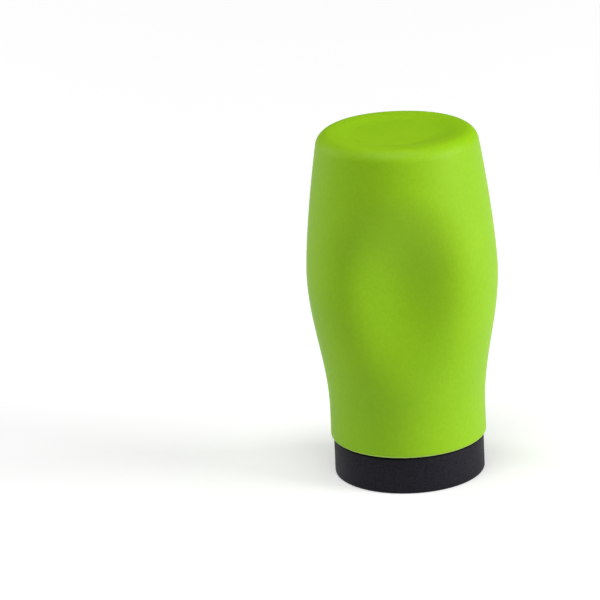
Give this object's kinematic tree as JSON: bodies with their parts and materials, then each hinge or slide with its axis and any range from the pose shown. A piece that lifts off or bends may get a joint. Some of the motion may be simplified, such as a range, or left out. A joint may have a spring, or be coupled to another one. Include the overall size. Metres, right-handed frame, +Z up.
{
  "type": "squeeze dispenser bottle",
  "caption": "Soft waisted squeeze bottle that stands on a screw base with a self-closing slit valve in its underside.",
  "frame": {"origin": "centre of the standing rim under the base, on the surface that the bottle stands on", "axes": "+Z up along the bottle from its base to its closed top, -Y towards the hollow for the thumb, +X to the right of someone facing that hollow"},
  "size_m": [0.073, 0.0654, 0.136],
  "materials": {
    "green_silicone": "matte moulded silicone",
    "black_plastic": "fine satin moulding",
    "natural_plastic": "as moulded, natural",
    "clear_silicone": "translucent soft silicone",
    "grey_rubber": "matte"
  },
  "bodies": {
    "base": {"base_cap": "black_plastic", "valve_body": "clear_silicone", "valve_retainer": "natural_plastic"},
    "petal_1": {"valve_petal_1": "clear_silicone"},
    "petal_2": {"valve_petal_2": "clear_silicone"},
    "petal_3": {"valve_petal_3": "clear_silicone"},
    "petal_4": {"valve_petal_4": "clear_silicone"},
    "seal": {"seal_ring": "grey_rubber"},
    "bottle": {"neck_insert": "natural_plastic", "squeeze_shell": "green_silicone"},
    "thumb_wall": {"thumb_panel": "green_silicone"},
    "finger_wall": {"finger_panel": "green_silicone"}
  },
  "joints": [
    {"name": "unscrew", "type": "hinge", "parent": "base", "child": "seal", "pos_m": [0, 0, 0.0067], "axis": [0, 0, 1], "range_deg": [0, 720]},
    {"name": "thread_lift", "type": "slide", "parent": "seal", "child": "bottle", "axis": [0, 0, 1], "range_m": [0, 0.0081]},
    {"name": "thumb_squeeze", "type": "slide", "parent": "bottle", "child": "thumb_wall", "axis": [0, 1, 0], "range_m": [0, 0.01], "stiffness_N_per_m": 600},
    {"name": "finger_squeeze", "type": "slide", "parent": "bottle", "child": "finger_wall", "axis": [0, -1, 0], "range_m": [0, 0.0061]},
    {"name": "petal_1_open", "type": "hinge", "parent": "base", "child": "petal_1", "pos_m": [0.0021, 0.0021, 0.0046], "axis": [0.7071, -0.7071, 0], "range_deg": [0, 61]},
    {"name": "petal_2_open", "type": "hinge", "parent": "base", "child": "petal_2", "pos_m": [-0.0021, 0.0021, 0.0046], "axis": [0.7071, 0.7071, 0], "range_deg": [0, 61]},
    {"name": "petal_3_open", "type": "hinge", "parent": "base", "child": "petal_3", "pos_m": [-0.0021, -0.0021, 0.0046], "axis": [-0.7071, 0.7071, 0], "range_deg": [0, 61]},
    {"name": "petal_4_open", "type": "hinge", "parent": "base", "child": "petal_4", "pos_m": [0.0021, -0.0021, 0.0046], "axis": [-0.7071, -0.7071, 0], "range_deg": [0, 61]}
  ],
  "couplings": [
    {"joint": "thread_lift", "follows": "unscrew", "m_per_rad": 0.00063662},
    {"joint": "finger_squeeze", "follows": "thumb_squeeze", "ratio": 0.6},
    {"joint": "petal_1_open", "follows": "thumb_squeeze", "rad_per_m": 104.72},
    {"joint": "petal_2_open", "follows": "thumb_squeeze", "rad_per_m": 104.72},
    {"joint": "petal_3_open", "follows": "thumb_squeeze", "rad_per_m": 104.72},
    {"joint": "petal_4_open", "follows": "thumb_squeeze", "rad_per_m": 104.72}
  ]
}
